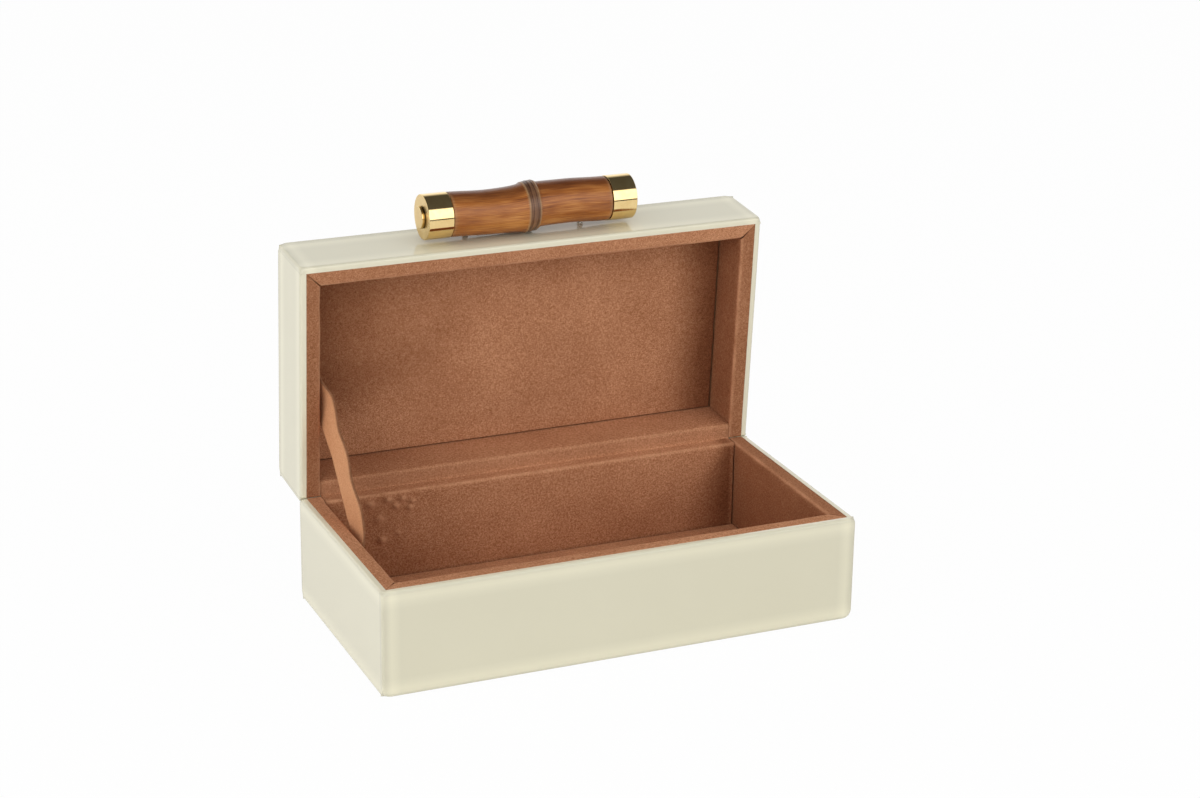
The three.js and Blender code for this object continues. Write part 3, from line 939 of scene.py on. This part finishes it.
def bend_between(first, middle, last, steps):
    """Points of a smooth bend from first to last, drawn towards middle."""
    share = np.linspace(0, 1, steps)[1:-1, None]
    return (1 - share) ** 2 * first + 2 * share * (1 - share) * middle + share ** 2 * last


def sheet_normals(points):
    """Normals to the left of a run of section points."""
    slope = np.gradient(points, axis=0)
    slope /= np.linalg.norm(slope, axis=1)[:, None]
    return np.column_stack([-slope[:, 1], slope[:, 0]])


def hinge_half(tray):
    """Section of one half, from the fold inwards, in shut places."""
    outward, upward = rim_section(WALL_DEPTH[tray])[:2]
    keep = outward < RIM_WIDTH - FOLD_FREE
    return np.column_stack([LINING[1] + outward, RIM[tray] - INWARD[tray] * upward])[keep]


base_half = hinge_half("base")[::-1]
lid_half = swung_section(hinge_half("lid"))
fold_corner = np.array([HINGE.y + FOLD_DRAWN, RIM["base"]])
bend = bend_between(base_half[-1], fold_corner, lid_half[0], BEND_STEPS)
section = np.concatenate([base_half, bend, lid_half])
coarse_run = np.concatenate([[0], np.cumsum(np.linalg.norm(np.diff(section, axis=0), axis=1))])
fold = coarse_run[len(base_half) + len(bend) // 2]
base_roll = coarse_run[np.argmin(np.abs(base_half[:, 0] - LINING[1] - 0.3 * ROLL))]
run = refined(coarse_run, fold - np.arange(*LUMPED_BELOW_FOLD, LUMP_STEP) * MM)
section = np.column_stack([np.interp(run, coarse_run, side) for side in section.T])
section_normal = sheet_normals(section)
print("hinge section, mm:", round(run[-1] / MM, 1), "fold at:", round(fold / MM, 1))

# %% Hinge sheet
HINGE_HALF = LINING[0] - 0.05 * MM
RIM_RUN = RIM_WIDTH - ROLL + (math.pi / 2 - 1) * ROLL
RIPPLE = (0.10 * MM, 0.05 * MM)
RIPPLE_SIZES = (22 * MM, 7 * MM)
RIPPLE_EASED = 3 * MM
SCUFF_SIZE = 6 * MM
LUMPED_ACROSS = (-98, -64)
LUMP_HEIGHT = 1.6 * MM
# Each lump: its place across, its place below the rim and its reach in mm, and its share of the height.
GLUE_LUMPS = (
    (-69.5, 6.6, 1.3, 0.6), (-70.7, 10.1, 1.4, 0.6), (-78.6, 8.1, 1.6, 0.6), (-82.8, 4.1, 1.7, 0.6),
    (-74.8, 4.6, 1.5, 0.5), (-92.4, 5.5, 2.0, 0.5), (-77.4, 23.4, 1.2, 0.5), (-86.1, 26.3, 1.8, 0.6),
    (-87.5, 14.3, 2.2, 0.4),
)

x = refined(stations(2 * HINGE_HALF, ALONG_STEP) - HINGE_HALF, np.arange(*LUMPED_ACROSS, LUMP_STEP) * MM)
across, down = np.meshgrid(x, run, indexing="ij")
edge = from_border(across, down)


def glue_lumps(shift):
    """The lumps' heights all over the sheet, with each lump moved across by a share of its reach."""
    right_mm = across / MM
    below_mm = (fold - down - RIM_RUN) / MM
    return sum(height * np.exp(-((right_mm - x_mm - shift * reach) / reach) ** 2
                               - ((below_mm - down_mm) / reach) ** 2)
               for x_mm, down_mm, reach, height in GLUE_LUMPS)


# Two shifted copies of the lumps paint light and shade: a highlight on each crest, a shadow at each foot.
lumps, lump_crest_highlight, lump_foot_shade = (glue_lumps(shift) for shift in (0, 0.6, -0.9))
ripples = (RIPPLE[0] * wavering(across, down, RIPPLE_SIZES[0], 21)
           + RIPPLE[1] * wavering(across, down, RIPPLE_SIZES[1], 22))
lift = ripples * smooth(np.abs(down - fold) / RIPPLE_EASED) - edge_drop(edge) + LUMP_HEIGHT * lumps
thick = FOLD_THICK + (SUEDE_THICK - FOLD_THICK) * smooth(np.abs(down - fold) / FOLD_PARED)
across = short_end(across, down, smooth((fold - down - RIM_WIDTH) / (3 * MM)), 24)
hinge_face, hinge_back = (
    np.concatenate([across[..., None], section + section_normal * raised[..., None]], -1)
    for raised in (lift, -thick)
)

scuffs = 0.6 + 0.8 * wavering(across, down, SCUFF_SIZE, 23)
rolled = np.exp(-((down - base_roll) / (1.0 * MM)) ** 2)
on_lid_rim = smooth((down - fold) / (1 * MM)) * (1 - smooth((down - fold - RIM_WIDTH) / (1 * MM)))
# Real wear on the rolled rim and the lid's rim, plus the painted highlight on the lump crests.
pale_wear_and_highlight = 0.9 * scuffs * rolled + 0.35 * on_lid_rim + 2.0 * lump_crest_highlight
# On this sheet the nap mark is mostly painted shade: towards the left, where the left wall and the strap
# keep light off, and deep in the right-hand corner. The last few millimetres at the right end are left out
# of the corner's shade, so that the end looks lit.
from_left = smooth((across + HINGE_HALF) / (130 * MM))
corner_shade_reach = 8 * MM + 20 * MM * smooth((fold - down) / (45 * MM))
corner_shade = 1 - smooth((HINGE_HALF - 3 * MM - across) / corner_shade_reach)
off_edge = smooth((HINGE_HALF - across - 1.5 * MM) / (2 * MM))
corner_shade = corner_shade * off_edge * np.where(down < fold, 0.95, 0.2)
nap = np.maximum(np.where(down < fold, 0.3, 0.4) * (1 - from_left), corner_shade)
# The lump feet add painted shade to the nap mark.
nap = np.minimum(nap + 0.12 * patches(across, down, 25) + 0.8 * lump_foot_shade, 1)
hinge_flat = np.stack([across, down], -1)
# Its cut-edge mark is widened, so the dark cut tone also paints a line of shade along its edges and ends.
hinge_piece = suede_sheet("hinge_suede", hinge_face, hinge_back, hinge_flat, 13, brown_suede, None,
                          ["base_hinge_sheet", "lid_hinge_sheet"], "suede",
                          pale_wear_and_highlight=pale_wear_and_highlight, cut=near_edge(edge, 2.4 * CUT_REACH), nap=nap)
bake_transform(hinge_piece)
print("hinge sheet, mm:", round(2 * HINGE_HALF / MM, 1), "by", round(run[-1] / MM, 1))

# %% [markdown]
# ## Stay strap
# A flat strap on the left stops the lid. It is glued to the lid's wall and the base's wall, and being a
# little long it stands off the wall between them, its front edge further than its back edge. Its cut edges
# waver. It is a sheet again, whose middle line runs straight from tab to tab, with the slack added.

# %% Stay strap
STRAP_REACH = 57 * MM
STRAP_DEPTH = 11 * MM
STRAP_WIDTH = 18 * MM
STRAP_TAB = 12 * MM
STRAP_SLACK = (2.2 * MM, 3.8 * MM)
STRAP_TAUT_FROM = 62 * MM
STRAP_TAUT_OVER = 25 * MM
STRAP_WAVE = 0.6 * MM
STRAP_WAVE_LENGTH = 29 * MM
STRAP_WAVE_CREST = 57 * MM
STRAP_OFF_WALL = 0.5 * MM
GLUED_END = 4 * MM
LIFT_OFF = 13 * MM

strap_base = np.array([HINGE.y - STRAP_REACH, HINGE.z - STRAP_DEPTH])
strap_lid = swung_section(np.array([[HINGE.y - STRAP_REACH, HINGE.z + STRAP_DEPTH]]))[0]
strap_run = np.linalg.norm(strap_lid - strap_base)
along_yz = (strap_lid - strap_base) / strap_run
across_yz = np.array([-along_yz[1], along_yz[0]])
strap_length = strap_run + STRAP_TAB
along, across = np.meshgrid(stations(strap_length, 1.2 * MM), stations(STRAP_WIDTH, 1.5 * MM), indexing="ij")
edge = from_border(along, across)
free = smooth((along - GLUED_END) / LIFT_OFF) * smooth((strap_length - along - GLUED_END) / LIFT_OFF)
side = across / STRAP_WIDTH - 0.5
back_slack = STRAP_SLACK[0] * (1 - 0.8 * smooth((along - STRAP_TAUT_FROM) / STRAP_TAUT_OVER))
slack = back_slack + (side + 0.5) * (STRAP_SLACK[1] - back_slack)
wave = (side + 0.5) * STRAP_WAVE * np.cos(2 * math.pi * (along - STRAP_WAVE_CREST) / STRAP_WAVE_LENGTH)
ragged = (0.5 * wavering(along, 2 * MM * np.sign(side), 9 * MM, 31)
          + 0.35 * wavering(along, side, 2.6 * MM, 33))
ragged = MM * ragged * np.abs(2 * side) ** 2
yz = (strap_base + along_yz * (along[..., None] - STRAP_TAB / 2)
      + across_yz * (across[..., None] - STRAP_WIDTH / 2 + ragged[..., None]))
strap_x = -LINING[0] + STRAP_OFF_WALL + free * (slack + wave)
strap_x = strap_x + 0.12 * MM * wavering(along, across, 14 * MM, 32)
strap_face, strap_back = (np.concatenate([(strap_x + deep)[..., None], yz], -1)
                          for deep in (edge_drop(edge), SUEDE_THICK))
strap_flat = np.stack([along, across], -1)
# The cut-edge mark reaches twice as far here and paints a shadow line along the strap's edges.
strap_piece = suede_sheet("strap_suede", strap_face, strap_back, strap_flat, 15, tan_suede, None,
                          ["stay_strap"], "strap_suede",
                          cut=near_edge(edge, 2 * CUT_REACH))
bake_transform(strap_piece)
print("strap, mm:", round(strap_length / MM, 1), "by", STRAP_WIDTH / MM)

# %% [markdown]
# ## Bamboo
# The grip is a length of bamboo with one node. Along the grain it is streaked and lacquered, so it shines
# softly, and painted shade darkens the side away from the lid. The node is a dark rounded collar between two
# thin pale ridges, and the rounded ends of the stalk get a painted highlight in the ridges' pale tone.
# The stalk swells gently towards it on the left and steps down sharply on the right. Bamboo is never quite
# straight: the two lengths are a little out of line. A profile turned about the middle line gives all this.

# %% Bamboo finish
TOP_SHADE_TONE = (0.45, 0.38, 0.36, 1.0)
RIDGE_TONE = tone(160, 128, 90)

bamboo_finish, tree, shader = principled("bamboo")
place = mark_of(tree, "stalk_place")["Vector"]
fibre = grain(tree, place, 0.32 * MM, 3.0, stretch=(40, 1, 1))
streak = grain(tree, place, 2.2 * MM, 3.0, stretch=(14, 1, 1))
patch = grain(tree, place, 13 * MM, 2.0, stretch=(2.2, 1, 1))
rings = grain(tree, place, 0.6 * MM, 2.0, stretch=(1, 40, 40))
pattern = weighted(tree, 0.0, (patch, 0.35), (streak, 0.2), (fibre, 0.45))
stalk_tones = (0.34, tone(100, 46, 12)), (0.5, tone(158, 92, 34)), (0.66, tone(208, 144, 74))
stalk = graded(tree, pattern, *stalk_tones)
# Painted shade: the side away from the lid is darkened in patches.
scorch = marked(tree, "scorch", compute(tree, "ADD", patch, 0.45))
stalk = mixed(tree, scorch, stalk, TOP_SHADE_TONE, "MULTIPLY")
groove_tone = graded(tree, rings, (0.4, tone(44, 26, 18)), (0.64, tone(122, 90, 66)))
stalk = mixed(tree, marked(tree, "groove", 0.85), stalk, groove_tone)
ridge = compute(tree, "MULTIPLY", marked(tree, "ridge", 0.75), compute(tree, "ADD", streak, 0.35))
stalk = mixed(tree, ridge, stalk, RIDGE_TONE)
fill(tree, shader, {
    "Base Color": stalk,
    "Roughness": weighted(tree, 0.24, (streak, 0.14)),
    "Normal": bumped(tree, fibre, 0.12 * MM, 0.5),
    "IOR": 1.45,
})
print("bamboo grains: 4")

# %% Turning helpers
TURN_STEPS = 96


def turned(profile):
    """Places, faces and angles of a closed profile of (along, radius) points, turned about X."""
    along, radius = np.repeat(profile, TURN_STEPS, axis=0).T
    angle = np.tile(np.linspace(0, 2 * math.pi, TURN_STEPS, endpoint=False), len(profile))
    places = np.column_stack([along, radius * np.cos(angle), radius * np.sin(angle)])
    ring = np.arange(len(places)).reshape(-1, TURN_STEPS)
    above = np.roll(ring, -1, axis=0)
    faces = np.stack([ring, np.roll(ring, -1, axis=1), np.roll(above, -1, axis=1), above], -1).reshape(-1, 4)
    return places, faces, angle


def arc(centre, radius, start, end, steps=6):
    """Points round part of a circle, in degrees."""
    angles = np.radians(np.linspace(start, end, steps))
    return [(centre[0] + radius * math.cos(a), centre[1] + radius * math.sin(a)) for a in angles]


bamboo_low, bamboo_high = shut_box("handle_bamboo")
HANDLE = (bamboo_low + bamboo_high) / 2
print("handle middle, shut, mm:", np.round(HANDLE / MM, 1))

# %% Bamboo
BAMBOO_RADIUS = 11.55 * MM
SPIGOT_RADIUS = 10.6 * MM
BORE_RADIUS = 1.8 * MM
NODE_RIDGE = 2.9 * MM
NODE_SWELL = 1.05 * MM
NODE_REACH = 6.5 * MM
FLARE = 8 * MM
COLLAR_HEIGHT = 0.58 * MM
RIDGE_HEIGHT = 0.4 * MM
RIDGE_WIDTH = 0.42 * MM
PALE_WIDTH = 0.45 * MM
STEP_RIGHT = 3.9 * MM
WAIST = 0.12 * MM
END_ROUND = 0.7 * MM
JOG = 0.85 * MM
TOP_SHADE_TOWARDS = math.radians(172)

ferrule_low, ferrule_high = shut_box("handle_right_ferrule")
ferrule_mouth = ferrule_low[0]
shoulder = ferrule_mouth - 0.3 * MM
tip = bamboo_high[0]


def at_ridges(x, width):
    """1 on the node's two ridges, and soon 0 beside them."""
    return sum(np.exp(-((x - place) / width) ** 2) for place in (-NODE_RIDGE, NODE_RIDGE))


def stalk_radius(x):
    """The stalk's radius along its length, node included."""
    left = np.exp(-np.maximum(-x - NODE_RIDGE, 0) / FLARE)
    right_side = np.where(x < STEP_RIGHT, 1.0, 0.22 * np.exp(-(x - STEP_RIGHT) / (4 * MM)))
    swell = NODE_SWELL * np.where(x < 0, left, right_side)
    collar = COLLAR_HEIGHT * np.sqrt(np.clip(1 - (x / NODE_RIDGE) ** 2, 0, 1))
    fine_rings = 0.08 * MM * np.exp(-(x / (2 * MM)) ** 2) * np.cos(x / (0.28 * MM))
    to_end = np.clip((np.abs(x) - NODE_RIDGE) / (shoulder - NODE_RIDGE), 0, 1)
    ridges = RIDGE_HEIGHT * at_ridges(x, RIDGE_WIDTH)
    return BAMBOO_RADIUS + swell + ridges + collar + fine_rings - WAIST * np.sin(math.pi * to_end)


fine_x = np.linspace(-NODE_REACH, NODE_REACH, 105)
plain_x = np.linspace(NODE_REACH, shoulder - END_ROUND, 30)[1:]
stalk_x = np.concatenate([-plain_x[::-1], fine_x, plain_x])
end_radius = stalk_radius(np.array([shoulder]))[0]
right_end = arc((shoulder - END_ROUND, end_radius - END_ROUND), END_ROUND, 90, 0)[1:]
left_end = [(-x, r) for x, r in right_end[::-1]]
places, faces, angle = turned([
    (-tip, BORE_RADIUS), (-tip, SPIGOT_RADIUS), (-shoulder, SPIGOT_RADIUS), *left_end,
    *zip(stalk_x, stalk_radius(stalk_x)),
    *right_end, (shoulder, SPIGOT_RADIUS), (tip, SPIGOT_RADIUS), (tip, BORE_RADIUS),
])
along = places[:, 0].copy()
stalk_place = np.column_stack([along, BAMBOO_RADIUS * np.cos(angle), BAMBOO_RADIUS * np.sin(angle)])
# The rounded ends take the ridges' pale tone at half strength, a painted highlight on the rounding.
at_ends = np.exp(-((np.abs(along) - shoulder + 0.5 * MM) / (0.7 * MM)) ** 2)
ridge = at_ridges(along, PALE_WIDTH) + 0.5 * at_ends
groove = smooth((NODE_RIDGE + 0.3 * MM - np.abs(along)) / (0.8 * MM))
# Painted shade on the side away from the lid.
scorch = smooth((np.cos(angle - TOP_SHADE_TOWARDS) - 0.6) / 0.32)
places[:, 1] -= JOG * np.tanh(along / (6 * MM)) * smooth((shoulder - np.abs(along)) / (22 * MM))
make_piece("handle_bamboo_stalk", swung_open(places + HANDLE), faces, bamboo_finish, "lid",
           ["handle_bamboo"], "bamboo", stalk_place=stalk_place, ridge=ridge, groove=groove, scorch=scorch)
print("bamboo, mm:", round(2 * tip / MM, 1), "long, points:", len(places))

# %% [markdown]
# ## Brass
# Two spun cups cover the ends of the bamboo, and a flat button head closes each one. The metal is polished,
# so it is mostly reflections: the studio's ramp draws the bands. The finish only adds a slight haze and
# faint polishing lines round the cup. The flat ends are brushed duller, and the foot of each button is
# darkened with a painted shadow.

# %% Brass finish
# Tone of the painted shadow at the foot of each button.
BUTTON_SHADE_TONE = tone(48, 35, 18)

brass, tree, shader = principled("brass")
place = mark_of(tree, "turn_place")["Vector"]
haze = grain(tree, place, 7 * MM, 4.0)
lines = grain(tree, place, 0.25 * MM, 2.0, stretch=(1, 60, 60))
colour = graded(tree, haze, (0.3, tone(226, 194, 134)), (0.7, tone(238, 212, 154)))
fill(tree, shader, {
    "Base Color": mixed(tree, marked(tree, "tarnish", 0.97), colour, BUTTON_SHADE_TONE),
    "Roughness": weighted(tree, 0.05, (haze, 0.08), (mark_of(tree, "brushed")["Fac"], 0.3)),
    "Normal": bumped(tree, lines, 0.02 * MM, 0.25),
    "Metallic": 1.0,
})
print("brass colours: 2")

# %% Ferrules and studs
FERRULE_WALL = 0.8 * MM
FERRULE_END = 1.0 * MM
FERRULE_ROUND = 0.45 * MM
MOUTH_ROUND = 0.2 * MM
MOUTH_BREAK = 0.1 * MM
STUD_ROUND = 0.3 * MM
STUD_BREAK = 0.15 * MM
HOLE_RADIUS = 1.8 * MM
AXIS_RADIUS = 0.01 * MM
BRUSHED_DEPTH = 0.1 * MM


def turned_brass(name, profile, node, flip, seat):
    """A brass piece turned about the handle's line, flipped for the left end and given painted shade at its
    seat.
    """
    places, faces, _ = turned(profile)
    along = places[:, 0].copy()
    brushed = smooth((along - along.max() + BRUSHED_DEPTH) / BRUSHED_DEPTH)
    tarnish = 1 - smooth((along - seat - 0.9 * MM) / (0.4 * MM))
    if flip:
        places[:, 0] *= -1
    made = make_piece(name, swung_open(places + HANDLE), faces, brass, "lid", [node], "brass",
                      turn_place=places, brushed=brushed, tarnish=tarnish)
    keep_faces_flat(made)


ferrule_end = ferrule_high[0]
ferrule_radius = (ferrule_high[2] - ferrule_low[2]) / 2
inner_radius = ferrule_radius - FERRULE_WALL
ferrule_profile = [
    (ferrule_end - FERRULE_END, HOLE_RADIUS), (ferrule_end - FERRULE_END, inner_radius),
    (ferrule_mouth + MOUTH_BREAK, inner_radius), (ferrule_mouth, inner_radius + MOUTH_BREAK),
    *arc((ferrule_mouth + MOUTH_ROUND, ferrule_radius - MOUTH_ROUND), MOUTH_ROUND, 180, 90, 4),
    *arc((ferrule_end - FERRULE_ROUND, ferrule_radius - FERRULE_ROUND), FERRULE_ROUND, 90, 0),
    (ferrule_end, HOLE_RADIUS),
]
stud_low, stud_high = shut_box("handle_right_stud")
stud_radius = (stud_high[2] - stud_low[2]) / 2
stud_seat = ferrule_end + 0.05 * MM
stud_profile = [
    (stud_seat, AXIS_RADIUS), (stud_seat, stud_radius - STUD_BREAK), (stud_seat + STUD_BREAK, stud_radius),
    *arc((stud_high[0] - STUD_ROUND, stud_radius - STUD_ROUND), STUD_ROUND, 90, 0),
    (stud_high[0], 0.6 * stud_radius), (stud_high[0], 0.2 * MM), (stud_high[0], AXIS_RADIUS),
]
# The cups get no painted shade, so the seat that they are given lies off the metal.
cup_seat = ferrule_mouth - 2 * MM
for side, flip in (("right", False), ("left", True)):
    turned_brass(f"handle_{side}_cup", ferrule_profile, f"handle_{side}_ferrule", flip, cup_seat)
    turned_brass(f"handle_{side}_button", stud_profile, f"handle_{side}_stud", flip, stud_seat)
print("ferrule, mm:", round(2 * ferrule_radius / MM, 1), "across, button:", round(2 * stud_radius / MM, 1))

# %% [markdown]
# ## Felt, boards and small metal
# A felt sheet under the base keeps the glass off the table. The boards hardly show, because glass, suede
# and felt cover them. Two zinc-plated screws hold the handle from inside the lid's front board, and only a
# little of each shows, between glass and bamboo. Boards and screws have the right shape already, so they
# only get a finish.

# %% Felt
FELT_STEP = 6 * MM

felt_finish, tree, shader = principled("brown_felt")
place = mark_of(tree, "sheet_place")["Vector"]
fluff = grain(tree, place, 0.6 * MM, 4.0)
cloud = grain(tree, place, 12 * MM, 2.0)
colour = graded(tree, fluff, (0.3, tone(104, 70, 50)), (0.7, tone(150, 108, 80)))
fill(tree, shader, {
    "Base Color": mixed(tree, compute(tree, "MULTIPLY", cloud, 0.35), colour, tone(120, 84, 60)),
    "Normal": bumped(tree, fluff, 0.4 * MM, 0.8),
    "Roughness": 1.0,
    "Sheen Weight": 0.3,
})

low, high = shut_box("base_felt")
x = low[0] + stations(high[0] - low[0], FELT_STEP)
y = low[1] + stations(high[1] - low[1], FELT_STEP)
across, along = np.meshgrid(x, y, indexing="ij")
felt_face = np.stack([across, along, low[2] + edge_drop(from_border(across, along))], -1)
felt_back = np.stack([across, along, np.full_like(across, high[2])], -1)
suede_sheet("base_felt_sheet", felt_face, felt_back, np.stack([across, along], -1), 16, felt_finish, "base",
            ["base_felt"], "felt")
print("felt, mm:", np.round((high - low)[:2] / MM, 1))

# %% Boards and screws
fibre_board, tree, shader = principled("fibre_board")
place = add(tree, "ShaderNodeTexCoord").outputs["Object"]
fibres = grain(tree, place, 0.5 * MM, 4.0)
fill(tree, shader, {
    "Base Color": graded(tree, fibres, (0.3, tone(112, 80, 52)), (0.7, tone(148, 112, 76))),
    "Normal": bumped(tree, fibres, 0.1 * MM, 0.4),
    "Roughness": 0.85,
})

zinc, tree, shader = principled("zinc_plate")
place = add(tree, "ShaderNodeTexCoord").outputs["Object"]
lathe_lines = grain(tree, place, 0.2 * MM, 2.0, stretch=(30, 1, 30))
fill(tree, shader, {
    "Base Color": graded(tree, lathe_lines, (0.3, tone(206, 203, 196)), (0.7, tone(228, 226, 220))),
    "Metallic": 1.0,
    "Roughness": 0.55,
})

KEPT_FINISHES = {"_board": fibre_board, "_screw": zinc}
kept = 0
for name, solid in frame["nodes"].items():
    for ending, finish in KEPT_FINISHES.items():
        if name.endswith(ending):
            solid.data.materials.clear()
            solid.data.materials.append(finish)
            kept += 1
print("solids kept with a new finish:", kept)
